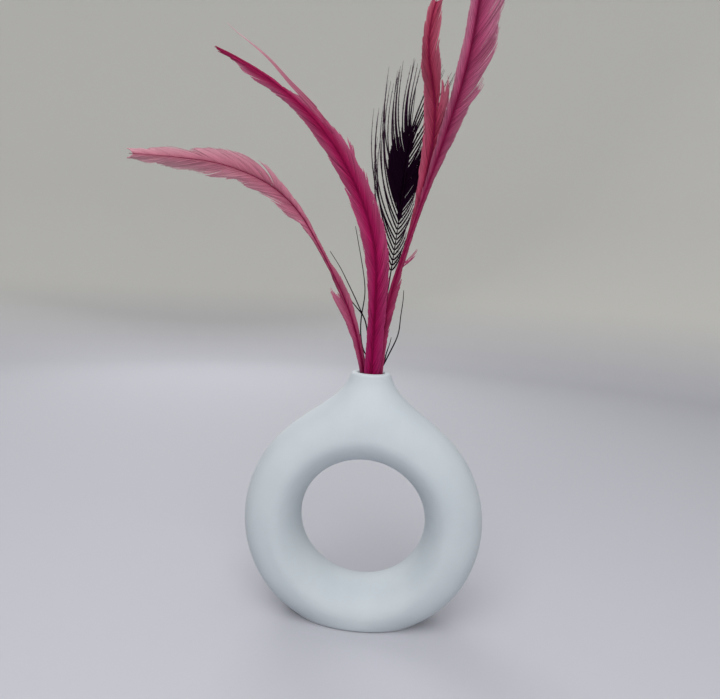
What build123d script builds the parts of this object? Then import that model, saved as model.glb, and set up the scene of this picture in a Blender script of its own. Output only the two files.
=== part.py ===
"""Donut vase: a matte white ceramic ring vase with five dyed feathers standing in its mouth.

Millimetres, +Z up. The foot stands on z = 0, the ring's hole runs along Y and the front faces -Y.
"""
from build123d import *
import os
from math import acos, cos, pi, radians, sin, sqrt, tan

# Vase
ring_radius = 90.0  # outline of the ring seen from the front
tube_width = 42.5  # of the ring, from the hole to the outline
foot_cut = 13.0  # how far the flat foot cuts into the ring
crest_share = 0.5  # of the tube's width, from the hole to the crest where the ring is deepest
crest_play = 0.05  # the curve round the hole is this much deeper than the crest that it meets
crest_rounding = 12.0  # eases the edge where the two meet
body_depth = 56.0
neck_height = 23.0  # mouth above the top of the ring
shoulder_apex = 1.2  # where the straight shoulders would meet, above the mouth
flare_radius = 43.0  # hollow curve of the neck
rim_radius = 14.3
rim_rounding = 1.8
foot_rounding = 3.0
wall = 5.0
loft_levels = 12
loft_points = 36

# Feathers
quill_radius = 1.4  # at the mouth, where each quill is thickest
quill_end_radius = 1.1
shaft_tip_radius = 0.35
shaft_sides = 8
shaft_sections = 30
shaft_gap = 0.15  # between a shaft and its own vanes
foot_gap = 0.4  # between a quill's end and the floor under the neck
quill_above_mouth = 15.0  # straight length outside the vase
vane_thickness = 0.8
vane_stations = 48
split_depth = 0.6  # share of the vane's width that a split reaches in
split_lag = 0.9  # how far a split's bottom lies behind its mouth, in vane widths
split_opening = 0.12  # half of a split's mouth, in vane widths

# Each feather lies in one upright plane. lane: where the quill crosses the mouth, as shares of the free
# radius. way: the side it heads for, 1 right and -1 left. swing: how far its plane turns to the front,
# in degrees. lean: the straight quill, from vertical. bends: length and turn of each arc. vane: start
# and end above the mouth.
# minus and plus: half widths of the two vanes, evenly spaced from start to end. splits: the places,
# as a share of the vane, where barbs have parted.
feathers = {
    "droop": {
        "lane": (-0.76, 0.53),
        "way": -1,
        "swing": 0.0,
        "lean": 14.0,
        "bends": [(50, 14.5), (50, 4.5), (50, 33), (50, 20), (52, 3)],
        "vane": (4.0, 267.0),
        "minus": [2.2, 3.2, 4.2, 5.2, 4.4, 2.6, 2.6, 3.6, 5.6, 7.6, 10.2, 10.4, 10.6, 10.0, 8.2, 5.6, 1.0],
        "plus": [2.2, 3.4, 5.0, 6.6, 6.0, 2.6, 2.6, 3.8, 5.8, 8.4, 10.8, 10.0, 9.2, 8.6, 7.4, 5.2, 1.0],
        "splits": {"minus": [0.62, 0.78], "plus": [0.52, 0.7, 0.88]},
    },
    "front": {
        "lane": (0.0, -0.76),
        "way": -1,
        "swing": 6.0,
        "lean": -0.5,
        "bends": [(50, 1.5), (50, 21), (50, 14), (50, 19), (58, 14)],
        "vane": (2.0, 273.0),
        "minus": [6.2, 7.0, 7.4, 8.0, 8.6, 9.2, 9.4, 9.0, 8.4, 8.2, 8.0, 7.4, 6.0, 4.4, 2.6, 1.6, 0.8],
        "plus": [5.8, 6.0, 6.2, 6.6, 7.0, 7.4, 7.8, 7.8, 7.4, 7.2, 7.4, 7.2, 6.2, 5.0, 4.6, 2.4, 0.8],
        "splits": {"minus": [0.6, 0.81], "plus": [0.47, 0.9]},
    },
    "wave": {
        "lane": (0.38, 0.1),
        "way": 1,
        "swing": 0.0,
        "lean": 7.5,
        "bends": [(50, -2), (50, 10.5), (50, -7), (50, -24.5), (52, 33)],
        "vane": (8.0, 267.0),
        "minus": [2.0, 2.2, 2.4, 2.5, 2.5, 2.6, 2.8, 3.4, 4.6, 6.0, 7.3, 7.5, 7.0, 6.0, 4.0, 3.0, 1.6],
        "plus": [2.0, 2.2, 2.4, 2.5, 2.5, 2.6, 2.8, 3.4, 4.4, 5.6, 6.6, 7.5, 7.2, 8.0, 6.6, 6.3, 2.0],
        "splits": {"minus": [0.6, 0.9], "plus": [0.7, 0.83]},
    },
    "tall": {
        "lane": (0.57, -0.33),
        "way": 1,
        "swing": 4.0,
        "lean": 3.5,
        "bends": [(60, 12), (60, 2), (60, -4), (60, -9), (63, 4.5)],
        "vane": (8.0, 314.0),
        "minus": [2.2, 2.4, 2.6, 2.8, 3.0, 3.0, 3.2, 3.6, 4.2, 5.0, 5.6, 6.0, 5.7, 5.7, 5.2, 4.2, 1.2],
        "plus": [2.2, 2.4, 2.6, 2.8, 3.0, 2.6, 2.4, 2.6, 4.8, 7.2, 9.2, 11.5, 16.3, 15.2, 17.7, 15.0, 1.2],
        "splits": {"minus": [0.44, 0.8], "plus": [0.6, 0.7, 0.9]},
    },
    "peacock": {
        "lane": (0.13, 0.94),
        "way": 1,
        "swing": 0.0,
        "lean": 7.0,
        "bends": [(105, -2.5), (85, -2)],
    },
}

# Peacock feather. Strands are given from the lowest to the highest of a fan, or one by one for the
# loose herl near the mouth: root above the mouth, length, leaving angle and bend.
strand_width = 1.1
strand_tip = 0.25  # share of the width left at a strand's tip
strand_steps = 7
eye_span = (126.0, 182.0)
eye_half_width = 12.5
eye_stations = 16
web_span = (72.0, 190.0)
web_width = 1.8
web_stations = 12
fan_count = 12
fan_roots = (76.0, 186.0)
fan_lengths = (98.0, 42.0)
fan_angles = (34.0, 10.0)
fan_bends = (-36.0, -6.0)
fan_eases = (1, 2, 4, 4)  # how late up the fan each of these four changes over
herl_web = (4.0, 30.0)
herl_strands = {
    "left": [(14.0, 82.0, 28.0, 4.0), (6.0, 100.0, 20.0, -4.0), (22.0, 76.0, 36.0, 4.0)],
    "right": [(6.0, 58.0, 26.0, -30.0), (24.0, 40.0, 11.0, 8.0)],
}

ring_height = ring_radius - foot_cut  # ring centre above the foot
hole_radius = ring_radius - tube_width
hole_rounding = crest_share * tube_width  # the tube curves in to the hole from the crest on
mouth_radius = rim_radius - wall
crest_radius = hole_radius + hole_rounding
floor_radius = hole_radius + wall  # the chamber's floor under the neck, round the hole
vase_height = ring_height + ring_radius + neck_height
slope = acos(ring_radius / (ring_radius + neck_height + shoulder_apex))  # where the shoulders leave the ring
line_start = Vector(ring_radius * sin(slope), ring_height + ring_radius * cos(slope))
uphill = Vector(-cos(slope), sin(slope))
outward = Vector(sin(slope), cos(slope))
reach = line_start + outward * flare_radius - Vector(rim_radius, vase_height)
line_run = -reach.dot(uphill) - sqrt(reach.dot(uphill) ** 2 - reach.dot(reach) + flare_radius**2)
flare_start = line_start + uphill * line_run
flare_centre = flare_start + outward * flare_radius


def half_width(z):
    # Front outline: round ring, straight shoulders, hollow neck.
    if z < line_start.Y:
        return sqrt(ring_radius**2 - (z - ring_height) ** 2)
    if z < flare_start.Y:
        return line_start.X - (z - line_start.Y) / tan(slope)
    return flare_centre.X - sqrt(flare_radius**2 - (z - flare_centre.Y) ** 2)


def half_depth(z):
    # Side outline: full depth across the ring, rounded in to the foot, eased in to the round rim.
    beyond = abs(z - ring_height) - crest_radius
    if beyond < 0:
        return body_depth / 2
    if z < ring_height:
        return body_depth / 2 * sqrt(1 - (beyond / (ring_radius - crest_radius)) ** 2)
    rise = beyond / (vase_height - ring_height - crest_radius)
    return rim_radius + (body_depth / 2 - rim_radius) * (1 + cos(pi * rise)) / 2


def lip(z):
    # How far the rounded rim has turned in at this height.
    return rim_rounding - sqrt(rim_rounding**2 - max(z - vase_height + rim_rounding, 0) ** 2)


def levels(low):
    # Heights of the loft's sections, closer together near the foot and the neck, then round the lip.
    high = vase_height - rim_rounding
    body = [low + (high - low) * (1 - cos(pi * step / loft_levels)) / 2 for step in range(loft_levels + 1)]
    return body + [high + rim_rounding * sin(pi / 2 * step / 3) for step in (1, 2, 3)]


def section(z, inset):
    # Flat-sided oval: an ellipse at the foot and neck, a long flat with round ends across the ring.
    flat = sqrt(max(crest_radius**2 - (z - ring_height) ** 2, 0))
    power = 2 * half_width(z) / (half_width(z) - flat)
    points = []
    for step in range(loft_points):
        turn = pi / 2 + 2 * pi * step / loft_points
        bulge = sqrt(max(1 - abs(sin(turn)) ** power, 0)) * (1 if cos(turn) > 0 else -1)
        points.append(Vector((half_width(z) - inset) * sin(turn), (half_depth(z) - inset) * bulge))
    places = [step / loft_points for step in range(loft_points + 1)]
    return Edge.make_spline(points, periodic=True, parameters=places)


def lane_point(feather):
    # Where the quill crosses the mouth, clear of its edge.
    return Vector(*feather["lane"]) * (mouth_radius - quill_radius)


def feather_plane(feather):
    swing = radians(feather["swing"])
    heading = Vector(feather["way"] * cos(swing), -sin(swing))
    return Plane(origin=lane_point(feather), x_dir=heading, z_dir=(heading.Y, -heading.X, 0))


def quill_inside(feather):
    # Length of the straight quill below the mouth: its end stands just clear of the chamber's floor.
    lean = radians(feather["lean"])
    height = ring_height + floor_radius
    for _ in range(6):
        x = lane_point(feather).X - (vase_height - height) * tan(lean) * feather_plane(feather).x_dir.X
        height = ring_height + sqrt(floor_radius**2 - x**2) + foot_gap + 2 * quill_end_radius * abs(sin(lean))
    return (vase_height - height) / cos(lean)


def spine(feather, above):
    # Point and direction of the centre line at a length above the mouth, or below it when negative.
    angle = radians(feather["lean"])
    run = min(above, quill_above_mouth)
    along = run * sin(angle)
    height = vase_height + run * cos(angle)
    left = above - run
    for length, turn in feather["bends"]:
        run = min(left, length)
        curve = radians(turn) / length
        middle = angle + curve * run / 2
        chord = run * (1 - (curve * run) ** 2 / 24)
        along += chord * sin(middle)
        height += chord * cos(middle)
        angle += curve * run
        left -= run
    return Vector(along + left * sin(angle), height + left * cos(angle)), angle


def top_length(feather):
    return quill_above_mouth + sum(length for length, turn in feather["bends"])


def shaft_radius(feather, above):
    # Thickest at the mouth, tapering to the quill's end and to the tip.
    if above < 0:
        return quill_radius + (quill_end_radius - quill_radius) * -above / quill_inside(feather)
    share = min(above / top_length(feather), 1)
    return quill_radius + (shaft_tip_radius - quill_radius) * share**0.8


def beside(feather, above, side, distance):
    # A point of the feather's plane, off the centre line to one side.
    point, angle = spine(feather, above)
    return point + Vector(cos(angle), -sin(angle)) * side * distance


def root_point(feather, above, side):
    return beside(feather, above, side, shaft_radius(feather, above) + shaft_gap)


def vane_width(widths, share):
    # Smooth steps between the given half widths.
    place = min(share, 0.9999) * (len(widths) - 1)
    first = int(place)
    ease = (place - first) ** 2 * (3 - 2 * (place - first))
    return widths[first] * (1 - ease) + widths[first + 1] * ease


def vane_outline(feather, side):
    # Along the shaft to the tip, then back down the outer edge and into each split.
    start, end = feather["vane"]
    name = "plus" if side > 0 else "minus"
    split_stations = [round(split * vane_stations) for split in feather["splits"][name]]
    inner = []
    outer = []
    for step in range(vane_stations + 1):
        above = start + (end - start) * step / vane_stations
        root = shaft_radius(feather, above) + shaft_gap
        width = max(vane_width(feather[name], step / vane_stations), root + shaft_gap)
        inner.append(root_point(feather, above, side))
        if step in split_stations:
            outer.append(beside(feather, above - width * split_opening, side, width))
            bottom = root + (width - root) * (1 - split_depth)
            outer.append(beside(feather, above - width * split_lag, side, bottom))
            above += width * split_opening
        outer.append(beside(feather, above, side, width))
    return inner + outer[::-1]


def strip_outline(feather, span, stations, side, width_at):
    # A strip along one side of the shaft, as wide as width_at gives for each share of its length.
    shares = [step / stations for step in range(stations + 1)]
    lengths = [span[0] + (span[1] - span[0]) * share for share in shares]
    inner = [root_point(feather, above, side) for above in lengths]
    outer = [
        beside(feather, above, side, shaft_radius(feather, above) + shaft_gap + width_at(share))
        for above, share in zip(lengths, shares)
    ]
    return inner + outer[::-1]


def strand_outline(feather, side, root, length, leaving, bend):
    # A thin tapering strand that leaves the shaft and bends steadily along its length.
    angle = spine(feather, root)[1]
    point = beside(feather, root, side, shaft_radius(feather, root) + shaft_gap + strand_width / 2)
    near = []
    far = []
    for step in range(strand_steps + 1):
        share = step / strand_steps
        heading = angle + side * radians(leaving + bend * share)
        across = Vector(cos(heading), -sin(heading)) * strand_width / 2 * (1 - (1 - strand_tip) * share)
        near.append(point - across)
        far.append(point + across)
        point = point + Vector(sin(heading), cos(heading)) * length / strand_steps
    return near + far[::-1]


def fan_strand(step):
    # Root, length, leaving angle and bend of one strand of a fan.
    share = step / (fan_count - 1)
    pairs = (fan_roots, fan_lengths, fan_angles, fan_bends)
    return [low + (high - low) * share**ease for (low, high), ease in zip(pairs, fan_eases)]


def eye_width(share):
    # Half width of the oval eye.
    return 2 * shaft_gap + eye_half_width * sin(pi * share) ** 0.7


os.makedirs("parts", exist_ok=True)
ring_axis = Axis((0, 0, ring_height), (0, 1, 0))

with BuildPart() as chamber:
    for z in levels(wall):
        with BuildSketch(Plane.XY.offset(z)):
            with BuildLine():
                add(section(z, wall - lip(z)))
            make_face()
    loft()
    # What the chamber leaves round the hole: a straight wall with rounded edges.
    with BuildSketch(Plane.XY.offset(ring_height)):
        with BuildLine():
            corner = hole_rounding - wall
            corner_depth = body_depth / 2 - wall + crest_play - corner
            back = CenterArc((crest_radius, corner_depth), corner, 90, 90)
            front = CenterArc((crest_radius, -corner_depth), corner, 180, 90)
            Line(back @ 1, front @ 0)
            Polyline(front @ 1, (crest_radius, -body_depth), (0, -body_depth), (0, body_depth),
                     (crest_radius, body_depth), back @ 0)
        make_face()
    revolve(axis=ring_axis, mode=Mode.SUBTRACT)

with BuildPart() as vase_body:
    for z in levels(0):
        with BuildSketch(Plane.XY.offset(z)):
            with BuildLine():
                add(section(z, lip(z)))
            make_face()
    loft()
    # The hole: half an ellipse turned round the ring's axis, so the tube is oval all round it.
    with BuildSketch(Plane.XY.offset(ring_height)):
        with BuildLine():
            curve_depth = body_depth / 2 + crest_play
            hollow = EllipticalCenterArc((crest_radius, 0), hole_rounding, curve_depth,
                                         start_angle=90, arc_size=180)
            Polyline(hollow @ 1, (crest_radius, -body_depth), (0, -body_depth), (0, body_depth),
                     (crest_radius, body_depth), hollow @ 0)
        make_face()
    revolve(axis=ring_axis, mode=Mode.SUBTRACT)
    fillet([edge for edge in edges(Select.LAST) if edge.length > 4 * hole_radius], crest_rounding)
    fillet(faces().sort_by(Axis.Z)[0].edges(), foot_rounding)
    add(chamber.part, mode=Mode.SUBTRACT)
vase_body.part.label = "vase_body"
export_step(vase_body.part, "parts/vase_body.step")

for name, feather in feathers.items():
    plane = feather_plane(feather)
    low, high = -quill_inside(feather), top_length(feather)
    with BuildPart() as shaft:
        for step in range(shaft_sections + 1):
            above = low + (high - low) * step / shaft_sections
            point, angle = spine(feather, above)
            heading = plane.x_dir * sin(angle) + Vector(0, 0, 1) * cos(angle)
            centre = plane.from_local_coords(Vector(point.X, point.Y, 0))
            with BuildSketch(Plane(origin=centre, x_dir=plane.z_dir, z_dir=heading)):
                RegularPolygon(shaft_radius(feather, above), shaft_sides)
        loft(ruled=True)
    shaft.part.label = name + "_shaft"
    export_step(shaft.part, "parts/" + name + "_shaft.step")

for name, feather in feathers.items():
    if "vane" not in feather:
        continue
    for side, word in ((-1, "left"), (1, "right")):
        with BuildPart() as vane:
            with BuildSketch(feather_plane(feather)):
                with BuildLine():
                    Polyline(*vane_outline(feather, side), close=True)
                make_face()
            extrude(amount=vane_thickness / 2, both=True)
        vane.part.label = name + "_vane_" + word
        export_step(vane.part, "parts/" + name + "_vane_" + word + ".step")

peacock = feathers["peacock"]
for side, word in ((-1, "left"), (1, "right")):
    with BuildPart() as fan:
        with BuildSketch(feather_plane(peacock)):
            with BuildLine():
                web = strip_outline(peacock, web_span, web_stations, side, lambda share: web_width)
                Polyline(*web, close=True)
            make_face()
            with BuildLine():
                Polyline(*strip_outline(peacock, eye_span, eye_stations, side, eye_width), close=True)
            make_face()
            for step in range(fan_count):
                with BuildLine():
                    Polyline(*strand_outline(peacock, side, *fan_strand(step)), close=True)
                make_face()
        extrude(amount=vane_thickness / 2, both=True)
    fan.part.label = "peacock_fan_" + word
    export_step(fan.part, "parts/peacock_fan_" + word + ".step")

for side, word in ((-1, "left"), (1, "right")):
    with BuildPart() as herl:
        with BuildSketch(feather_plane(peacock)):
            with BuildLine():
                web = strip_outline(peacock, herl_web, web_stations, side, lambda share: strand_width)
                Polyline(*web, close=True)
            make_face()
            for strand in herl_strands[word]:
                with BuildLine():
                    Polyline(*strand_outline(peacock, side, *strand), close=True)
                make_face()
        extrude(amount=vane_thickness / 2, both=True)
    herl.part.label = "peacock_herl_" + word
    export_step(herl.part, "parts/peacock_herl_" + word + ".step")
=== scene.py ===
import bpy
import bmesh
import math
import numpy as np
from mathutils import Matrix, Vector


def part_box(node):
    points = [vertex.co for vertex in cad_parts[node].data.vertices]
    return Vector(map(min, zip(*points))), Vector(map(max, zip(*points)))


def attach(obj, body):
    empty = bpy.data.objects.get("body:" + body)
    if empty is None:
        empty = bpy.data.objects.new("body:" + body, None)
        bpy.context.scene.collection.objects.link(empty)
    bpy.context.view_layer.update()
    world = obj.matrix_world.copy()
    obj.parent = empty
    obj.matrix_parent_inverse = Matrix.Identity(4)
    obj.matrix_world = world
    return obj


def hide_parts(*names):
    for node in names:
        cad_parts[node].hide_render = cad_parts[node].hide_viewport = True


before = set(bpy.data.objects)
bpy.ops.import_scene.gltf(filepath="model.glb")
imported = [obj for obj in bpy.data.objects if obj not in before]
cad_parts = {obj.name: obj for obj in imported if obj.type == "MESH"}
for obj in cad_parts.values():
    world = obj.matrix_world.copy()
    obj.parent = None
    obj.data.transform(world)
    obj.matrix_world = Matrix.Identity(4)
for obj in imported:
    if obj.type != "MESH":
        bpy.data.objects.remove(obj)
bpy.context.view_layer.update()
mm = 0.001
print("frame loaded:", len(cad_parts), "nodes")

# the mouth of the vase, which every feather passes
mouth = {"height": 190 * mm, "freeRadius": 7.9 * mm}

# Each feather lies in an upright plane. Lengths are mm above the mouth along the shaft, turns degrees.
# lane: where the quill crosses the mouth, in shares of its free radius. way: the side it heads for.
# swing: turn of the plane to the front. lean: the straight quill's. bends: length and turn of each arc.
# vane: start and end of the half widths plus, on the side it heads for, and minus, evenly spaced.
# rootStart: where the lowest barbs leave the shaft. sweep: how far barbs run forward for their reach.
# dihedral and wave: the vane's tilt out of the plane, and how much the tilt sways along it.
# splits: shares of the vane where its edge parts. sparse: roots whose barbs keep a share of their reach.
# tufts: loose barbs; inner is the share of the reach that the highest root's barb has.
# low and high: colours from shaft to edge, at the feather's foot and at its tip. Paler edge colours are
# partly the dye and partly painted light shining through the thin single layer of barbs.
feathers = {
    "droop": {
        "lane": (-0.76, 0.53), "way": -1, "swing": 0, "lean": 14,
        "bends": [(50, 14.5), (50, 4.5), (50, 33), (50, 20), (52, 3)],
        "vane": (4, 267), "rootStart": -12, "sweep": 2.0, "dihedral": -9, "wave": 7, "seed": 3,
        "minus": [2.4, 2.4, 3.0, 4.2, 3.9, 1.7, 1.8, 2.6, 3.8, 6.4, 11.2, 11.2, 9.8, 8.4, 6.9, 5.8, 3.6],
        "plus": [2.8, 3.6, 5.0, 6.6, 5.6, 1.6, 2.0, 4.0, 8.8, 7.8, 9.0, 6.8, 10.2, 8.4, 6.8, 5.6, 3.4],
        "splits": {"minus": [0.595, 0.78], "plus": [0.51, 0.675, 0.88]},
        "tufts": [{"side": 1, "roots": (14, 47), "tip": 65, "reach": 7.4, "hairs": 64, "inner": 0.25}],
        "sparse": {"side": 1, "roots": (47, 70), "share": 0.35},
        "slot": "pink_barbs",
        "low": [(0.190, 0.008, 0.048), (0.310, 0.026, 0.096), (0.400, 0.082, 0.170)],
        "high": [(0.440, 0.145, 0.200), (0.530, 0.225, 0.285), (0.600, 0.335, 0.380)],
    },
    "front": {
        "lane": (0.0, -0.76), "way": -1, "swing": 6, "lean": -0.5,
        "bends": [(50, 1.5), (50, 21), (50, 14), (50, 19), (58, 14)],
        "vane": (2, 273), "rootStart": -16, "sweep": 2.6, "dihedral": -10, "wave": 5, "seed": 11,
        "minus": [6.6, 7.1, 7.4, 8.0, 8.6, 9.2, 9.4, 9.0, 8.4, 8.2, 7.8, 5.8, 2.8, 2.0, 1.5, 1.1, 0.7],
        "plus": [4.8, 4.4, 4.3, 5.0, 6.2, 7.2, 7.8, 7.8, 7.4, 7.2, 7.2, 6.6, 5.3, 5.2, 5.8, 2.2, 0.7],
        "splits": {"minus": [0.6, 0.81], "plus": [0.47, 0.9]},
        "tufts": [{"side": -1, "roots": (140, 148), "tip": 165, "reach": 11.4, "hairs": 16, "inner": 0.78},
                  {"side": -1, "roots": (118, 126), "tip": 143, "reach": 10.8, "hairs": 14, "inner": 0.8}],
        "slot": "magenta_barbs",
        "low": [(0.235, 0.002, 0.050), (0.280, 0.005, 0.072), (0.325, 0.022, 0.112)],
        "high": [(0.235, 0.006, 0.048), (0.315, 0.018, 0.080), (0.470, 0.135, 0.225)],
    },
    "wave": {
        "lane": (0.38, 0.1), "way": 1, "swing": 0, "lean": 7.5,
        "bends": [(50, 4), (50, 2.5), (50, -8), (50, -21.5), (52, 33)],
        "vane": (8, 267), "rootStart": -12, "sweep": 2.3, "dihedral": -8, "wave": 8, "seed": 23,
        "minus": [3.0, 2.8, 2.4, 1.6, 1.2, 1.2, 1.6, 2.8, 4.4, 6.0, 7.3, 7.5, 7.0, 6.0, 4.4, 4.0, 2.8],
        "plus": [3.0, 2.8, 2.4, 1.8, 1.6, 1.6, 2.0, 3.0, 4.4, 5.6, 6.6, 7.5, 7.2, 8.0, 7.0, 6.6, 3.6],
        "splits": {"minus": [0.6, 0.9], "plus": [0.7, 0.83]},
        "tufts": [{"side": 1, "roots": (172, 188), "tip": 211, "reach": 11.8, "hairs": 26, "inner": 0.6}],
        "sparse": {"side": 1, "roots": (187, 196), "share": 0.75},
        "slot": "magenta_barbs",
        "low": [(0.150, 0.002, 0.026), (0.235, 0.010, 0.052), (0.300, 0.036, 0.090)],
        "high": [(0.200, 0.010, 0.036), (0.350, 0.046, 0.092), (0.440, 0.115, 0.170)],
    },
    "tall": {
        "lane": (0.57, -0.33), "way": 1, "swing": 4, "lean": 3.5,
        "bends": [(60, 11), (60, 2), (60, -2), (60, -10), (63, 4.5)],
        "vane": (8, 314), "rootStart": -12, "sweep": 1.9, "dihedral": -9, "wave": 8, "seed": 31,
        "minus": [3.0, 3.0, 2.6, 1.9, 1.5, 1.4, 1.8, 3.2, 4.2, 5.0, 5.6, 6.0, 5.7, 5.7, 5.2, 4.2, 1.2],
        "plus": [3.8, 4.0, 4.6, 4.4, 2.4, 1.9, 1.9, 2.6, 4.8, 7.2, 9.2, 11.5, 16.3, 15.2, 17.7, 15, 1.2],
        "splits": {"minus": [0.44], "plus": [0.9]},
        "tufts": [{"side": 1, "roots": (184, 196), "tip": 214, "reach": 14, "hairs": 18, "inner": 0.72},
                  {"side": 1, "roots": (50, 58), "tip": 66, "reach": 4.9, "hairs": 7, "inner": 0.7},
                  {"side": 1, "roots": (76, 84), "tip": 94, "reach": 8.3, "hairs": 7, "inner": 0.7}],
        "sparse": {"side": 1, "roots": (58, 70), "share": 0.8},
        "slot": "magenta_barbs",
        "low": [(0.145, 0.002, 0.027), (0.235, 0.009, 0.055), (0.305, 0.034, 0.104)],
        "high": [(0.205, 0.014, 0.060), (0.335, 0.064, 0.146), (0.440, 0.180, 0.260)],
    },
    "peacock": {
        "lane": (0.13, 0.94), "way": 1, "swing": 0, "lean": 7,
        "bends": [(105, -2.5), (85, -2)],
        "slot": "dark_barbs",
        "low": [(0.0045, 0.0006, 0.0048), (0.0120, 0.0034, 0.0110), (0.0400, 0.0170, 0.0320)],
        "high": [(0.0040, 0.0003, 0.0046), (0.0120, 0.0030, 0.0110), (0.0480, 0.0210, 0.0400)],
    },
}


def newMaterial(name, roughness, specular):
    material = bpy.data.materials.new(name)
    material.use_nodes = True
    nodes, links = material.node_tree.nodes, material.node_tree.links
    shader = nodes["Principled BSDF"]
    shader.inputs["Roughness"].default_value = roughness
    shader.inputs["Specular IOR Level"].default_value = specular
    return material, nodes, links, shader


def rampNode(nodes, stops):
    # stops are places from 0 to 1 with a colour each
    node = nodes.new("ShaderNodeValToRGB")
    ramp = node.color_ramp
    while len(ramp.elements) < len(stops):
        ramp.elements.new(0.5)
    for element, (place, colour) in zip(ramp.elements, stops):
        element.position = place
        element.color = (*colour, 1)
    return node


def mixNode(nodes, links, blend, factor, first, second):
    # inputs 6 and 7 and output 2 are the mix node's colour sockets
    mix = nodes.new("ShaderNodeMix")
    mix.data_type = "RGBA"
    mix.blend_type = blend
    sockets = (mix.inputs["Factor"], mix.inputs[6], mix.inputs[7])
    for socket, value in zip(sockets, (factor, first, second)):
        if hasattr(value, "links"):
            links.new(value, socket)
        else:
            socket.default_value = value
    return mix.outputs[2]


def attributeNode(nodes, name):
    node = nodes.new("ShaderNodeAttribute")
    node.attribute_name = name
    return node.outputs["Fac"]


def noiseNode(nodes, links, scale, detail, stretch=(1, 1, 1)):
    coords = nodes.new("ShaderNodeTexCoord")
    mapping = nodes.new("ShaderNodeMapping")
    mapping.inputs["Scale"].default_value = stretch
    noise = nodes.new("ShaderNodeTexNoise")
    noise.inputs["Scale"].default_value = scale
    noise.inputs["Detail"].default_value = detail
    links.new(coords.outputs["Object"], mapping.inputs["Vector"])
    links.new(mapping.outputs["Vector"], noise.inputs["Vector"])
    return noise.outputs["Fac"]


ceramicLook = {"pale": (0.515, 0.560, 0.590), "dull": (0.480, 0.526, 0.560), "cloudStops": (0.35, 0.65),
               "cloudScale": 26, "cloudDetail": 3, "specular": 0.3, "roughness": 0.62, "unevenness": 0.08,
               "sheenScale": 90, "sheenDetail": 4, "grainScale": 1400, "grainDetail": 3,
               "grainStrength": 0.12, "grainDepth": 0.15 * mm}


def ceramicMaterial():
    # matte bisque-like glaze: faint cloudy tint, fine grain in the bump, uneven sheen
    look = ceramicLook
    material, nodes, links, shader = newMaterial("matteCeramic", look["roughness"], look["specular"])
    tint = rampNode(nodes, list(zip(look["cloudStops"], (look["dull"], look["pale"]))))
    links.new(noiseNode(nodes, links, look["cloudScale"], look["cloudDetail"]), tint.inputs["Fac"])
    links.new(tint.outputs["Color"], shader.inputs["Base Color"])
    spread = nodes.new("ShaderNodeMapRange")
    spread.inputs["To Min"].default_value = look["roughness"] - look["unevenness"]
    spread.inputs["To Max"].default_value = look["roughness"] + look["unevenness"]
    links.new(noiseNode(nodes, links, look["sheenScale"], look["sheenDetail"]), spread.inputs["Value"])
    links.new(spread.outputs["Result"], shader.inputs["Roughness"])
    bump = nodes.new("ShaderNodeBump")
    bump.inputs["Strength"].default_value = look["grainStrength"]
    bump.inputs["Distance"].default_value = look["grainDepth"]
    links.new(noiseNode(nodes, links, look["grainScale"], look["grainDetail"]), bump.inputs["Height"])
    links.new(bump.outputs["Normal"], shader.inputs["Normal"])
    return material


dyeLook = {"roughness": 0.6, "specular": {"pink_barbs": 0.03, "magenta_barbs": 0.03, "dark_barbs": 0.01},
           "stops": (0.0, 0.35, 1.0), "dullTone": (0.82, 0.78, 0.80), "brightTone": (1.18, 1.22, 1.20)}


def barbMaterial(name, feather):
    # colour runs from shaft to edge on each barb, paler at the thin edge partly as painted light shining
    # through it, changes from the feather's foot to its tip and differs a little from barb to barb
    specular = dyeLook["specular"][feather["slot"]]
    material, nodes, links, shader = newMaterial(name + "Dyed", dyeLook["roughness"], specular)
    reach = attributeNode(nodes, "reach")
    ends = []
    for key in ("low", "high"):
        ramp = rampNode(nodes, list(zip(dyeLook["stops"], feather[key])))
        links.new(reach, ramp.inputs["Fac"])
        ends.append(ramp.outputs["Color"])
    colour = mixNode(nodes, links, "MIX", attributeNode(nodes, "rise"), *ends)
    tone = rampNode(nodes, [(0.0, dyeLook["dullTone"]), (1.0, dyeLook["brightTone"])])
    links.new(attributeNode(nodes, "tone"), tone.inputs["Fac"])
    colour = mixNode(nodes, links, "MULTIPLY", 1.0, colour, tone.outputs["Color"])
    links.new(colour, shader.inputs["Base Color"])
    return material


hornLook = {"roughness": 0.5, "specular": 0.01, "stops": (0.35, 0.7), "scale": 500, "detail": 3,
            "stretch": (1, 1, 0.06),
            "quill": ((0.130, 0.002, 0.028), (0.190, 0.005, 0.050)),
            "dark_quill": ((0.005, 0.001, 0.005), (0.012, 0.005, 0.010))}


def quillMaterial(slot):
    # horn-like shaft with fine streaks along it
    material, nodes, links, shader = newMaterial(slot + "Horn", hornLook["roughness"], hornLook["specular"])
    streaks = rampNode(nodes, list(zip(hornLook["stops"], hornLook[slot])))
    grain = noiseNode(nodes, links, hornLook["scale"], hornLook["detail"], hornLook["stretch"])
    links.new(grain, streaks.inputs["Fac"])
    links.new(streaks.outputs["Color"], shader.inputs["Base Color"])
    return material


materials = {name: barbMaterial(name, feather) for name, feather in feathers.items()}
materials.update({slot: quillMaterial(slot) for slot in ("quill", "dark_quill")})
materials["ceramic"] = ceramicMaterial()
print("materials made:", len(materials))


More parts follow.
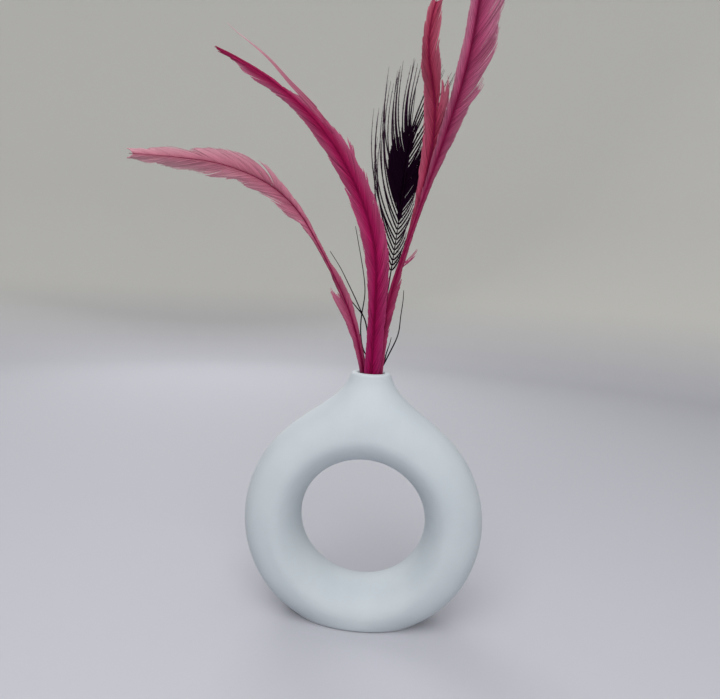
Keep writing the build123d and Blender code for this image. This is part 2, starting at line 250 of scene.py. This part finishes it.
def addPiece(name, points, quads, body, material, attributes, replaced=()):
    # arrays of points, four-sided faces and values per point, put into a mesh that rides on a body
    mesh = bpy.data.meshes.new(name)
    mesh.vertices.add(len(points))
    mesh.vertices.foreach_set("co", np.ascontiguousarray(points, dtype=np.float32).ravel())
    mesh.loops.add(quads.size)
    mesh.loops.foreach_set("vertex_index", np.ascontiguousarray(quads, dtype=np.int32).ravel())
    mesh.polygons.add(len(quads))
    mesh.polygons.foreach_set("loop_start", np.arange(0, quads.size, 4, dtype=np.int32))
    mesh.update(calc_edges=True)
    for key, values in attributes.items():
        layer = mesh.attributes.new(key, "FLOAT", "POINT")
        layer.data.foreach_set("value", np.ascontiguousarray(values, dtype=np.float32).ravel())
    mesh.shade_smooth()
    mesh.materials.append(materials[material])
    piece = bpy.data.objects.new(name, mesh)
    bpy.context.scene.collection.objects.link(piece)
    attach(piece, body)
    if replaced:
        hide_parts(*replaced)
    return piece


upward = np.array([0, 0, 1.0])


def planeAxes(feather):
    # where the feather crosses the mouth, the way its plane runs, and the plane's normal on the front side
    swing = math.radians(feather["swing"])
    lane = mouth["freeRadius"] * np.array([*feather["lane"], 0])
    runs = np.array([feather["way"] * math.cos(swing), -math.sin(swing), 0])
    return lane, runs, feather["way"] * np.array([runs[1], -runs[0], 0])


quill = {"straight": 15, "radius": 0.95, "tipRadius": 0.2, "taper": 0.45, "sides": 10, "rings": 90,
         "footGap": 0.2, "tipGap": 0.4}


def spine(feather, above):
    # Centre line: a straight quill through the mouth, then arcs, each turning steadily over its length.
    # An arc's chord is its length times one less a 24th of its squared turn, close for small turns.
    # Gives along (in the plane), height and angle from vertical for lengths above the mouth, in mm.
    above = np.asarray(above, dtype=float)
    angle = np.full(above.shape, math.radians(feather["lean"]))
    run = np.minimum(above, quill["straight"])
    along = run * np.sin(angle)
    height = mouth["height"] / mm + run * np.cos(angle)
    left = above - run
    for length, turn in feather["bends"]:
        run = np.minimum(left, length)
        curve = math.radians(turn) / length
        chord = run * (1 - (curve * run) ** 2 / 24)
        along = along + chord * np.sin(angle + curve * run / 2)
        height = height + chord * np.cos(angle + curve * run / 2)
        angle = angle + curve * run
        left = left - run
    return along + left * np.sin(angle), height + left * np.cos(angle), angle


def topLength(feather):
    # the straight quill and all arcs
    return quill["straight"] + sum(length for length, turn in feather["bends"])


def shaftRadius(feather, above):
    # even up to the mouth, then thinning by the given power of the share of the length
    share = np.clip(above / topLength(feather), 0, 1)
    return quill["radius"] + (quill["tipRadius"] - quill["radius"]) * share ** quill["taper"]


def placed(feather, above, side, lateral, raised):
    # A point beside the centre line: lateral off it in the plane, raised off the plane to the front.
    lane, runs, normal = planeAxes(feather)
    along, height, angle = spine(feather, above)
    along = along + side * lateral * np.cos(angle)
    height = height - side * lateral * np.sin(angle)
    return lane + mm * (along[..., None] * runs + height[..., None] * upward + raised[..., None] * normal)


corners = 4  # of a strand's section
tiny = 1e-12  # keeps a length of zero from being divided by


def strands(centres, normal, halfWidth, halfThick):
    # Flat diamond section carried along each strand; rows are strands, columns steps from root to tip.
    tangent = np.gradient(centres, axis=1)
    tangent /= np.linalg.norm(tangent, axis=2, keepdims=True) + tiny
    across = np.cross(np.broadcast_to(normal, tangent.shape), tangent)
    across /= np.linalg.norm(across, axis=2, keepdims=True) + tiny
    lift = np.cross(tangent, across)
    wide = across * halfWidth[..., None] * mm
    thick = lift * halfThick[..., None] * mm
    ring = np.stack([centres + wide, centres + thick, centres - wide, centres - thick], axis=2)
    count, steps = centres.shape[:2]
    corner = np.arange(corners)
    after = (corner + 1) % corners
    step = np.arange(steps - 1)[:, None] * corners
    ahead = step + corners
    sides = np.stack([step + corner, step + after, ahead + after, ahead + corner], axis=-1)
    ends = np.stack([corner[::-1], (steps - 1) * corners + corner])
    quads = np.concatenate([sides.reshape(-1, 4), ends])
    quads = (quads[None] + np.arange(count)[:, None, None] * steps * corners).reshape(-1, 4)
    return ring.reshape(-1, 3), quads


def perCorner(values, count, steps):
    # a value per strand and step, repeated for the corners of its section
    return np.repeat(np.broadcast_to(values, (count, steps)).reshape(-1), corners)


def joined(parts):
    # several strand sets in one mesh, each set's faces counted on from the points before it
    points, quads, marks = zip(*parts)
    offsets = np.cumsum([0] + [len(part) for part in points[:-1]])
    quads = np.concatenate([part + offset for part, offset in zip(quads, offsets)])
    marks = {key: np.concatenate([part[key] for part in marks]) for key in marks[0]}
    return np.concatenate(points), quads, marks


def smoothWidth(widths, share):
    # Smooth steps between evenly spaced half widths.
    place = np.clip(share, 0, 0.9999) * (len(widths) - 1)  # short of 1, so that a next width exists
    first = place.astype(int)
    ease = (place - first) ** 2 * (3 - 2 * (place - first))
    widths = np.array(widths)
    return widths[first] * (1 - ease) + widths[first + 1] * ease


def sideKey(side):
    return "plus" if side > 0 else "minus"


def vaneWidth(feather, side, above):
    # half width of one side's vane at lengths above the mouth
    start, end = feather["vane"]
    return smoothWidth(feather[sideKey(side)], (above - start) / (end - start))


barbLook = {"halfWidth": 0.36, "tipLoss": 0.66, "halfThick": 0.06, "thinning": 0.5, "fullTilt": 150,
            "leastTilt": 0.3, "bow": 0.3, "seat": 0.45, "lift": 0.05, "leastFull": 3.0, "tone": 0.5,
            "toneSpread": 0.16, "risePower": 1.2}


def barbSet(feather, side, above, lateral, slant, rng, toneShift):
    # Barbs given by their lengths up the shaft and off it. slant tips each point out of the plane, less so
    # near the mouth, and half a sine wave bows each barb to the front. Widths fall with the fourth power.
    count, steps = above.shape
    t = np.linspace(0, 1, steps)[None]
    spread = np.clip(above / barbLook["fullTilt"], barbLook["leastTilt"], 1)
    raised = lateral * np.sin(slant * spread) + barbLook["bow"] * np.sin(np.pi * t) * spread
    raised = raised + shaftRadius(feather, above) * barbLook["seat"] * (1 - t)
    raised = raised + rng.normal(0, barbLook["lift"], count)[:, None]
    centres = placed(feather, above, side, lateral * np.cos(slant * spread), raised)
    width = barbLook["halfWidth"] * (1 - barbLook["tipLoss"] * t**4)
    thick = barbLook["halfThick"] * (1 - barbLook["thinning"] * t)
    points, quads = strands(centres, planeAxes(feather)[2], width, thick)
    full = np.maximum(vaneWidth(feather, side, above), barbLook["leastFull"])
    rise = np.clip((above / feather["vane"][1]) ** barbLook["risePower"], 0, 1)
    tone = np.clip(barbLook["tone"] + barbLook["toneSpread"] * rng.normal(0, 1, count) + toneShift, 0, 1)
    # reach: share of the way from shaft to edge, where the colour turns paler, partly as painted light
    # shining through the thin barbs
    marks = {"reach": perCorner(np.clip(lateral / full, 0, 1), count, steps),
             "rise": perCorner(rise, count, steps),
             "tone": perCorner(tone[:, None], count, steps)}
    return points, quads, marks


clumpLook = {"count": 13, "span": (0.04, 0.97), "pull": 0.06, "splitPull": 0.3, "pullSpread": 0.07,
             "tilt": 2.2, "tone": 0.14}


def clumps(feather, side, share, rng):
    # Cuts lie at each split and at random shares of the vane, and barbs between two cuts form a clump.
    # Gives for each barb its clump's middle, how far tips are drawn to it, more beside a split, and the
    # clump's own tilt and tone.
    start, end = feather["vane"]
    splits = feather["splits"][sideKey(side)]
    cuts = np.sort(np.concatenate([splits, rng.uniform(*clumpLook["span"], clumpLook["count"])]))
    clump = np.searchsorted(cuts, share)
    edges = np.concatenate([[0], cuts, [1]])
    middle = start + (end - start) * (edges[clump] + edges[clump + 1]) / 2
    isSplit = np.isin(np.round(edges, 4), np.round(splits, 4))
    pull = clumpLook["pull"] + clumpLook["splitPull"] * (isSplit[clump] | isSplit[clump + 1])
    pull = pull + rng.uniform(0, clumpLook["pullSpread"], len(cuts) + 1)[clump]
    tilt = rng.normal(0, clumpLook["tilt"], len(cuts) + 1)[clump]
    tone = clumpLook["tone"] * rng.normal(0, 1, len(cuts) + 1)[clump]
    return middle, pull, tilt, tone


tuftLook = {"steps": 9, "tipSpread": 2.2, "tipDrop": 10, "reachSpread": 0.3, "outward": 1.3, "droop": 1.4,
            "tone": 0.1}


def tuftBarbs(feather, tuft, base, rng):
    # Loose barbs from a stretch of the shaft: straight up it and outward as 1-(1-t)^1.3. The lowest root's
    # barb reaches highest and furthest out.
    hairs = tuft["hairs"]
    order = np.linspace(0, 1, hairs)
    root = np.linspace(*tuft["roots"], hairs)
    tips = tuft["tip"] + rng.normal(0, tuftLook["tipSpread"], hairs) - tuftLook["tipDrop"] * order
    reach = tuft["reach"] * np.linspace(1, tuft["inner"], hairs)
    reach = reach + rng.normal(0, tuftLook["reachSpread"], hairs)
    t = np.linspace(0, 1, tuftLook["steps"])[None]
    above = root[:, None] + (tips - root)[:, None] * t
    lateral = base + reach[:, None] * (1 - (1 - t) ** tuftLook["outward"])
    slant = np.radians(np.full(above.shape, feather["dihedral"] * tuftLook["droop"]))
    return barbSet(feather, tuft["side"], above, lateral, slant, rng, tuftLook["tone"])


vaneLook = {"steps": 9, "spacing": 0.5, "jitter": 0.045, "rootJitter": 0.2, "endGap": 4, "overrun": 1,
            "sweepGain": 0.25, "leastForward": 3.0, "base": 0.35, "leastReach": 0.2, "outward": 1.4,
            "swayLength": 31}


def addVane(name, side, word):
    # Barbs: each leaves the shaft, runs forward by sweep times its reach and outward as 1-(1-t)^1.4,
    # in clumps whose tips draw together, so that the edge parts between clumps.
    feather = feathers[name]
    rng = np.random.default_rng(feather["seed"] + (side > 0))
    first, end = feather["rootStart"], feather["vane"][1]
    count = int((end - first) / vaneLook["spacing"])
    share = np.linspace(0, 1, count)
    root = first + (end - vaneLook["endGap"] - first) * share + rng.normal(0, vaneLook["rootJitter"], count)
    forward = feather["sweep"] * vaneWidth(feather, side, root) * (1 + vaneLook["sweepGain"] * share)
    forward = np.minimum(forward + vaneLook["leastForward"], end + vaneLook["overrun"] - root)
    reach = vaneWidth(feather, side, root + forward) * (1 + rng.normal(0, vaneLook["jitter"], count))
    sparse = feather.get("sparse")
    if sparse and sparse["side"] == side:
        low, high = sparse["roots"]
        reach = np.where((root > low) & (root < high), reach * sparse["share"], reach)
    middle, pull, tilt, tone = clumps(feather, side, share, rng)
    t = np.linspace(0, 1, vaneLook["steps"])[None]
    base = shaftRadius(feather, root) * vaneLook["base"]
    above = root[:, None] + forward[:, None] * t + (pull * (middle - root))[:, None] * t**2
    outward = 1 - (1 - t) ** vaneLook["outward"]
    lateral = base[:, None] + np.maximum(reach - base, vaneLook["leastReach"])[:, None] * outward
    sway = feather["wave"] * np.sin(above / vaneLook["swayLength"] + feather["seed"])
    slant = np.radians(feather["dihedral"] + sway + tilt[:, None])
    parts = [barbSet(feather, side, above, lateral, slant, rng, tone)]
    for tuft in feather["tufts"]:
        if tuft["side"] == side:
            parts.append(tuftBarbs(feather, tuft, base.mean(), rng))
    points, quads, marks = joined(parts)
    addPiece(name + "Barbs" + word.capitalize(), points, quads, name + "_feather", name,
             marks, (name + "_vane_" + word,))


# the lock's path as lengths above the mouth and off the shaft, in mm
wispLook = {"path": [(172, 3.0), (184, 4.0), (196, 4.8), (207, 5.4), (217, 6.4), (226, 8.4), (236, 11),
                     (246, 12.8), (256, 14.4), (265, 16), (272, 18.6)],
            "pathSteps": 60, "count": 30, "steps": 20, "seed": 17, "starts": (0, 0.22), "ends": (0.5, 1.0),
            "spread": 0.9, "gather": 1.2, "behind": 0.6, "fallBack": 1.2, "waver": 0.12, "halfWidth": 0.42,
            "tipLoss": 0.75, "halfThick": 0.07, "tone": 0.6, "toneSpread": 0.15, "rootReach": 0.3,
            "reachPower": 0.7}
easingRounds = 4


def smoothPath(points, steps):
    # Even steps along the given points, with the corners eased by repeated averaging.
    points = np.array(points, dtype=float)
    place = np.linspace(0, len(points) - 1, steps)
    path = np.stack([np.interp(place, np.arange(len(points)), points[:, axis]) for axis in (0, 1)], 1)
    for _ in range(easingRounds):
        path[1:-1] = (path[:-2] + 2 * path[1:-1] + path[2:]) / 4
    return path


def addWisp():
    # A parted lock of the front feather: barbs that follow one path, spread at the root, ending in turn.
    feather = feathers["front"]
    look = wispLook
    rng = np.random.default_rng(look["seed"])
    count, steps = look["count"], look["steps"]
    path = smoothPath(look["path"], look["pathSteps"])
    pathShare = np.linspace(0, 1, look["pathSteps"])
    first = rng.uniform(*look["starts"], count)
    last = np.sort(rng.uniform(*look["ends"], count))
    t = np.linspace(0, 1, steps)[None]
    place = first[:, None] + (last - first)[:, None] * t
    above = np.interp(place, pathShare, path[:, 0])
    lateral = np.interp(place, pathShare, path[:, 1])
    lateral = lateral + rng.normal(0, look["spread"], count)[:, None] * (1 - place) ** look["gather"]
    raised = -look["behind"] - look["fallBack"] * place + rng.normal(0, look["waver"], count)[:, None]
    centres = placed(feather, above, -1, lateral, raised)
    width = look["halfWidth"] * (1 - look["tipLoss"] * t**2)
    thick = np.full((1, steps), look["halfThick"])
    points, quads = strands(centres, planeAxes(feather)[2], width, thick)
    tone = np.clip(look["tone"] + look["toneSpread"] * rng.normal(0, 1, count), 0, 1)
    # the lock's colour turns paler towards its ends, partly as painted light shining through the thin barbs
    reach = look["rootReach"] + (1 - look["rootReach"]) * place ** look["reachPower"]
    marks = {"reach": perCorner(reach, count, steps), "rise": perCorner(place, count, steps),
             "tone": perCorner(tone[:, None], count, steps)}
    addPiece("frontWisp", points, quads, "front_feather", "droop", marks)


def addShaft(name):
    # Round section carried up the centre line, thinnest at the tip, closed at both ends.
    feather = feathers[name]
    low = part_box(name + "_shaft")[0][2]
    inside = (mouth["height"] - low) / mm / math.cos(math.radians(feather["lean"])) - quill["footGap"]
    rings, sides = quill["rings"], quill["sides"]
    above = np.linspace(-inside, topLength(feather) - quill["tipGap"], rings)[:, None]
    radius = shaftRadius(feather, above)
    turn = np.linspace(0, 2 * np.pi, sides, endpoint=False)
    across = radius * np.cos(turn)
    raised = radius * np.sin(turn)
    points = placed(feather, np.repeat(above, sides, 1), -feather["way"], across, raised)
    ring = np.arange(rings - 1)[:, None] * sides
    ahead = ring + sides
    corner = np.arange(sides)
    after = (corner + 1) % sides
    quads = np.stack([ring + corner, ring + after, ahead + after, ahead + corner], -1).reshape(-1, 4)
    half = np.arange(sides // 2 - 1)
    cap = np.stack([half, half + 1, sides - 2 - half, sides - 1 - half], -1)
    quads = np.concatenate([quads, cap[:, ::-1], cap + (rings - 1) * sides])
    slot = "dark_quill" if name == "peacock" else "quill"
    addPiece(name + "Quill", points.reshape(-1, 3), quads, name + "_feather", slot, {},
             (name + "_shaft",))


for featherName, featherFacts in feathers.items():
    addShaft(featherName)
    if "vane" in featherFacts:
        addVane(featherName, -1, "left")
        addVane(featherName, 1, "right")
addWisp()
print("dyed feathers built")


# roots, lengths, angles and bends of the fan's strands: the lowest and the highest, eased by a power each.
# On each side, tilt and lean add to the angles and bends, and back turns the tips of the upper strands.
# short: what the lowest strand loses, and the share of the fan where the loss ends. Strands below the
# covered share end behind other feathers. fade: how far a strand's colour goes to the edge's.
fanLook = {"count": 28, "roots": (76, 177), "lengths": (98, 47), "angles": (34, 10), "bends": (-36, -6),
           "eases": (1, 2, 4, 4), "lengthSpread": 0.05, "angleSpread": 1.8, "bendSpread": 2, "waver": 0.25,
           "rootOffset": 0.5, "coveredLength": 0.3, "steps": 14, "seed": 41,
           "halfWidth": 0.56, "tip": 0.15, "thick": 0.3, "fade": 1,
           "left": {"tilt": 1.0, "lean": -22, "back": 18, "short": (0.3, 0.2), "covered": 0},
           "right": {"tilt": 1.5, "lean": 20, "back": 0, "short": (0.5, 0.4), "covered": 0.75}}
fanHairs = {"perStrand": 62, "length": 1.8, "halfWidth": 0.13, "tip": 0.4, "thick": 0.1, "fade": 1}
strandTone = {"middle": 0.5, "spread": 0.2, "riseHeight": 230 * mm}


def strandSet(centres, look, rng):
    # Strands narrowing as t^1.5 to their tips.
    count, steps = centres.shape[:2]
    t = np.linspace(0, 1, steps)[None]
    width = look["halfWidth"] * (1 - (1 - look["tip"]) * t**1.5)
    normal = planeAxes(feathers["peacock"])[2]
    points, quads = strands(centres, normal, width, np.minimum(width, look["thick"]))
    tone = np.clip(strandTone["middle"] + strandTone["spread"] * rng.normal(0, 1, count), 0, 1)
    rise = np.clip((centres[..., 2] - mouth["height"]) / strandTone["riseHeight"], 0, 1)
    marks = {"reach": perCorner(look["fade"] * t, count, steps), "rise": perCorner(rise, count, steps),
             "tone": perCorner(tone[:, None], count, steps)}
    return points, quads, marks


def bentStrands(side, root, length, leaving, bend, back, steps):
    # Heading turns from the leaving angle by bend along the strand and by back near its tip; the path is
    # the running sum of short steps along the heading.
    feather = feathers["peacock"]
    t = (np.arange(steps) + 0.5)[None] / steps
    along, height, angle = spine(feather, root)
    turned = leaving[:, None] + bend[:, None] * t + back[:, None] * t**4
    heading = angle[:, None] + side * np.radians(turned)
    stride = length[:, None] / steps
    start = np.zeros((len(root), 1))
    runAlong = np.concatenate([start, np.cumsum(np.sin(heading) * stride, 1)], 1)
    runHeight = np.concatenate([start, np.cumsum(np.cos(heading) * stride, 1)], 1)
    along = (along + side * np.cos(angle) * fanLook["rootOffset"])[:, None] + runAlong
    height = (height - side * np.sin(angle) * fanLook["rootOffset"])[:, None] + runHeight
    lane, runs, _ = planeAxes(feather)
    return lane + mm * (along[..., None] * runs + height[..., None] * upward)


def fanStrands(side, word, rng):
    # Strands from the lowest to the highest root. Length, leaving angle and bend run between their ends by
    # a power of the strand's share, with a little chance in each, and each strand strays off the plane.
    look, own = fanLook, fanLook[word]
    share = np.linspace(0, 1, look["count"])
    keys = ("roots", "lengths", "angles", "bends")
    low, high = np.array([[look[key][end] for key in keys] for end in (0, 1)])[..., None]
    root, length, leaving, bend = low + (high - low) * share ** np.array(look["eases"])[:, None]
    length = length * (1 + rng.normal(0, look["lengthSpread"], len(share)))
    loss, lossEnd = own["short"]
    length = length * (1 - loss * np.clip(1 - share / lossEnd, 0, 1))
    length = np.where(share < own["covered"], look["coveredLength"] * length, length)
    leaving = leaving + own["tilt"] + rng.normal(0, look["angleSpread"], len(share))
    bend = bend + own["lean"] * share + rng.normal(0, look["bendSpread"], len(share))
    path = bentStrands(side, root, length, leaving, bend, own["back"] * share, look["steps"])
    stray = rng.normal(0, look["waver"], (len(share), 1, 1)) * np.linspace(0, 1, look["steps"] + 1)[:, None]
    return path + planeAxes(feathers["peacock"])[2] * mm * stray


hairLook = {"span": (0.02, 0.93), "lengths": (0.6, 1.2), "shortening": 0.6, "forward": 0.8, "outward": 0.6,
            "bow": 0.12}


def barbules(centres, look, rng):
    # Fine hairs along each strand, leaving it forward to both sides in turn, shorter towards its tip.
    count, steps = centres.shape[:2]
    perStrand = look["perStrand"]
    place = np.sort(rng.uniform(*hairLook["span"], (count, perStrand)), 1) * (steps - 1)
    first = place.astype(int)
    rows = np.arange(count)[:, None]
    blend = (place - first)[..., None]
    rootPoint = centres[rows, first] * (1 - blend) + centres[rows, first + 1] * blend
    tangent = centres[rows, first + 1] - centres[rows, first]
    tangent /= np.linalg.norm(tangent, axis=2, keepdims=True)
    normal = planeAxes(feathers["peacock"])[2]
    across = np.cross(np.broadcast_to(normal, tangent.shape), tangent)
    hand = np.where(np.arange(perStrand) % 2 == 0, 1.0, -1.0)[None, :, None]
    length = look["length"] * mm * rng.uniform(*hairLook["lengths"], (count, perStrand, 1))
    length = length * (1 - hairLook["shortening"] * place[..., None] / (steps - 1))
    leaving = hairLook["forward"] * tangent + hairLook["outward"] * hand * across
    tipPoint = rootPoint + length * leaving
    middle = (rootPoint + tipPoint) / 2 + hairLook["bow"] * length * tangent
    return np.stack([rootPoint, middle, tipPoint], axis=2).reshape(count * perStrand, 3, 3)


webLook = {"span": (112, 176), "count": 160, "steps": 4, "forward": 3.2, "reach": 1.5, "base": 0.1,
           "raised": 0.2, "past": 6, "taper": 40, "leastTaper": 0.3,
           "halfWidth": 0.45, "tip": 0.5, "thick": 0.1, "fade": 0.2}


def webBarbs(side):
    # The web: short barbs close along the shaft, straight out and forward, shorter near the upper end.
    root = np.linspace(*webLook["span"], webLook["count"])[:, None]
    t = np.linspace(0, 1, webLook["steps"])[None]
    above = root + webLook["forward"] * t
    left = webLook["span"][1] + webLook["past"] - root
    taper = np.clip(left / webLook["taper"], webLook["leastTaper"], 1)
    lateral = webLook["base"] + webLook["reach"] * taper * t
    return placed(feathers["peacock"], above, side, lateral, np.full(above.shape, webLook["raised"]))


# slit: shares of the right half's tips that are held back to slitWidth of their width
eyeLook = {"span": (125, 177), "shares": (0.02, 0.99), "wide": 12.6, "fullness": 0.6, "topHeavy": 1.25,
           "wideSpread": 0.03, "count": 110, "steps": 9, "sweep": 1.7, "leastForward": 6, "lowRoot": 118,
           "rootRise": 8, "slit": (0.84, 0.94), "slitWidth": 0.12, "fringe": 10, "fringeStart": 0.4,
           "fringeEase": 0.3, "base": 0.4, "outward": 1.4, "raised": 0.25, "bow": 0.3, "lift": 0.04,
           "halfWidth": 0.5, "tip": 0.5, "thick": 0.1, "fade": 0.15}


def eyeBarbs(side, rng):
    # The eye: close-set barbs, outward as 1-(1-t)^1.4, whose tips lie on an oval: its half width is a sine
    # of the share along it, raised to a power. A fringe of longer tips stands above, and the right is slit.
    look = eyeLook
    low, high = look["span"]
    share = np.linspace(*look["shares"], look["count"])
    tipAbove = low + (high - low) * share
    wide = look["wide"] * np.sin(np.pi * share ** look["topHeavy"]) ** look["fullness"]
    wide = wide * (1 + rng.normal(0, look["wideSpread"], len(share)))
    slit = (share > look["slit"][0]) & (share < look["slit"][1]) & (side > 0)
    wide = np.where(slit, wide * look["slitWidth"], wide)
    longest = tipAbove - look["lowRoot"] - look["rootRise"] * share
    forward = np.minimum(look["sweep"] * wide + look["leastForward"], longest)
    grown = np.clip((share - look["fringeStart"]) / look["fringeEase"], 0, 1)
    longer = look["fringe"] * rng.uniform(0, 1, len(share)) ** 2 * grown
    t = np.linspace(0, 1, look["steps"])[None]
    lateral = look["base"] + wide[:, None] * (1 - (1 - t) ** look["outward"])
    above = (tipAbove - forward)[:, None] + (forward + longer)[:, None] * t
    raised = look["raised"] + look["bow"] * np.sin(np.pi * t) + rng.normal(0, look["lift"], (len(share), 1))
    return placed(feathers["peacock"], above, side, lateral, raised)


def addFan(side, word):
    # one half of the fan: long strands with barbules, the web along the shaft and half of the eye
    rng = np.random.default_rng(fanLook["seed"] + (side > 0))
    long = fanStrands(side, word, rng)
    parts = [strandSet(long, fanLook, rng)]
    parts.append(strandSet(barbules(long, fanHairs, rng), fanHairs, rng))
    parts.append(strandSet(webBarbs(side), webLook, rng))
    parts.append(strandSet(eyeBarbs(side, rng), eyeLook, rng))
    points, quads, marks = joined(parts)
    addPiece("peacockFan" + word.capitalize(), points, quads, "peacock_feather", "peacock",
             marks, ("peacock_fan_" + word,))


# each loose strand as lengths above the mouth and off the shaft, in mm
herlLook = {
    "left": [[(10, 0.4), (18, 6), (28, 9.7), (37, 12.8), (41, 16.3),
              (48, 25), (57, 34.5), (66, 43.4), (73, 47.8), (82, 53)],
             [(12, 0.4), (20, 6.6), (26, 9.3), (36, 12.3), (41, 16.4),
              (50, 22), (57, 27), (65, 32.5), (73, 38), (83, 47)],
             [(3, 0.4), (10, 7.1), (14, 11), (24, 14.4), (36, 16.4),
              (47, 16.2), (57, 16), (70, 19.5), (88, 25.6), (104, 31)]],
    "right": [[(-6, 0.4), (3, 6.4), (14, 8.9), (24, 12.2), (30, 13.3),
               (36, 13.4), (43, 12.6), (51, 12.6), (57, 12.4), (63, 11.6)],
              [(-4, 0.4), (2, 4), (8, 6.8), (11, 7), (14, 7.1),
               (17, 7.5), (19, 7.8), (21, 8.1), (24, 8.5), (27, 8.6)]],
    "steps": 30, "seed": 48, "behind": (0.5, 1.1), "halfWidth": 0.54, "tip": 0.4, "thick": 0.25, "fade": 0.3}
herlHairs = {"perStrand": 60, "length": 0.8, "halfWidth": 0.07, "tip": 0.4, "thick": 0.07, "fade": 1}


def addHerl(side, word):
    # Loose strands low on the shaft, each along its own smoothed path, one behind the other.
    rng = np.random.default_rng(herlLook["seed"] + (side > 0))
    paths = np.array([smoothPath(points, herlLook["steps"]) for points in herlLook[word]])
    behind = np.linspace(*herlLook["behind"], len(paths))[:, None] + np.zeros(paths.shape[:2])
    long = placed(feathers["peacock"], paths[..., 0], side, paths[..., 1], -behind)
    parts = [strandSet(long, herlLook, rng)]
    parts.append(strandSet(barbules(long, herlHairs, rng), herlHairs, rng))
    points, quads, marks = joined(parts)
    addPiece("peacockHerl" + word.capitalize(), points, quads, "peacock_feather", "peacock",
             marks, ("peacock_herl_" + word,))


for sideSign, sideWord in ((-1, "left"), (1, "right")):
    addFan(sideSign, sideWord)
    addHerl(sideSign, sideWord)
print("peacock feather built")


vaseLook = {"weld": 0.002 * mm}


def addVase():
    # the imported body's own mesh, its triangles merged so that it shades as one smooth surface
    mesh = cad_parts["vase_body"].data.copy()
    mesh.name = "vaseShell"
    shell = bmesh.new()
    shell.from_mesh(mesh)
    bmesh.ops.remove_doubles(shell, verts=shell.verts, dist=vaseLook["weld"])
    shell.to_mesh(mesh)
    shell.free()
    mesh.shade_smooth()
    mesh.materials.clear()
    mesh.materials.append(materials["ceramic"])
    piece = bpy.data.objects.new("vaseShell", mesh)
    bpy.context.scene.collection.objects.link(piece)
    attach(piece, "vase")
    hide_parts("vase_body")


addVase()
print("vase built")


# lengths in metres; the floor's colour turns into the upper one over the blend height
stageLook = {"floor": (0.50, 0.50, 0.545), "upper": (0.66, 0.65, 0.61), "blend": 0.2, "middle": 0.5,
             "flat": 1.3, "bend": 0.5, "top": 1.5, "bendSteps": 16, "sides": 96, "roughness": 0.85,
             "specular": 0.15}


def stageMaterial():
    # matte paper whose colour changes with height
    look = stageLook
    material, nodes, links, shader = newMaterial("studioPaper", look["roughness"], look["specular"])
    coords = nodes.new("ShaderNodeTexCoord")
    split = nodes.new("ShaderNodeSeparateXYZ")
    links.new(coords.outputs["Object"], split.inputs["Vector"])
    spread = nodes.new("ShaderNodeMapRange")
    spread.inputs["From Min"].default_value = 0.0
    spread.inputs["From Max"].default_value = look["blend"]
    links.new(split.outputs["Z"], spread.inputs["Value"])
    floor, upper = (*look["floor"], 1), (*look["upper"], 1)
    colour = mixNode(nodes, links, "MIX", spread.outputs["Result"], floor, upper)
    links.new(colour, shader.inputs["Base Color"])
    return material


def addStage():
    # a round floor that bends up all round: the profile from the middle outwards, turned round Z
    flat, bend, sides = stageLook["flat"], stageLook["bend"], stageLook["sides"]
    turn = np.linspace(0, np.pi / 2, stageLook["bendSteps"])
    r = np.concatenate([[0.0, stageLook["middle"]], flat + bend * np.sin(turn), [flat + bend]])
    z = np.concatenate([[0, 0], bend * (1 - np.cos(turn)), [stageLook["top"]]])
    around = np.linspace(0, 2 * np.pi, sides, endpoint=False)[:, None]
    points = np.stack([r * np.cos(around), r * np.sin(around), np.tile(z, (sides, 1))], -1).reshape(-1, 3)
    first = np.arange(len(r) - 1)
    row = np.arange(sides)[:, None] * len(r)
    after = (np.arange(sides)[:, None] + 1) % sides * len(r)
    quads = np.stack([row + first, row + first + 1, after + first + 1, after + first], -1).reshape(-1, 4)
    mesh = bpy.data.meshes.new("studioSheet")
    mesh.from_pydata(points.tolist(), [], quads.tolist())
    mesh.shade_smooth()
    mesh.materials.append(stageMaterial())
    sheet = bpy.data.objects.new("studioSheet", mesh)
    bpy.context.scene.collection.objects.link(sheet)


lamps = {"overhead": {"place": (-0.1, -0.75, 1.15), "size": 1.0, "power": 9.5},
         "front": {"place": (0.35, -1.2, 0.55), "size": 0.8, "power": 4.0},
         "rear": {"place": (-0.5, 1.15, 0.8), "size": 0.9, "power": 6.0}}
room = {"aim": (0, 0, 0.2), "colour": (0.95, 0.97, 1.0), "strength": 0.62}


def addLights():
    # soft square lamps that face one point over the vase, in a pale even room
    for name, lamp in lamps.items():
        data = bpy.data.lights.new(name, "AREA")
        data.size = lamp["size"]
        data.energy = lamp["power"]
        light = bpy.data.objects.new(name, data)
        light.location = lamp["place"]
        aim = Vector(room["aim"]) - Vector(lamp["place"])
        light.rotation_euler = aim.to_track_quat("-Z", "Y").to_euler()
        bpy.context.scene.collection.objects.link(light)
    world = bpy.data.worlds.new("softRoom")
    bpy.context.scene.world = world
    world.use_nodes = True
    background = world.node_tree.nodes["Background"]
    background.inputs["Color"].default_value = (*room["colour"], 1)
    background.inputs["Strength"].default_value = room["strength"]


view = {"place": (0.0268, -0.4387, 0.2587), "heading": 4.71, "pitch": 6.81, "roll": 3.42, "lens": 30.0,
        "sensor": 36.0}


def addCamera():
    # stands in front, a little to the right and above, tipped to one side as the picture is
    data = bpy.data.cameras.new("photoView")
    data.lens = view["lens"]
    data.sensor_width = view["sensor"]
    data.sensor_fit = "HORIZONTAL"
    camera = bpy.data.objects.new("photoView", data)
    bpy.context.scene.collection.objects.link(camera)
    turn = Matrix.Rotation(math.radians(view["heading"]), 4, "Z")
    tip = Matrix.Rotation(math.radians(90 - view["pitch"]), 4, "X")
    roll = Matrix.Rotation(math.radians(view["roll"]), 4, "Z")
    camera.matrix_world = Matrix.Translation(view["place"]) @ turn @ tip @ roll
    bpy.context.scene.camera = camera


addStage()
addLights()
addCamera()
bpy.context.scene.view_settings.view_transform = "Standard"
print("stage, light and camera set")
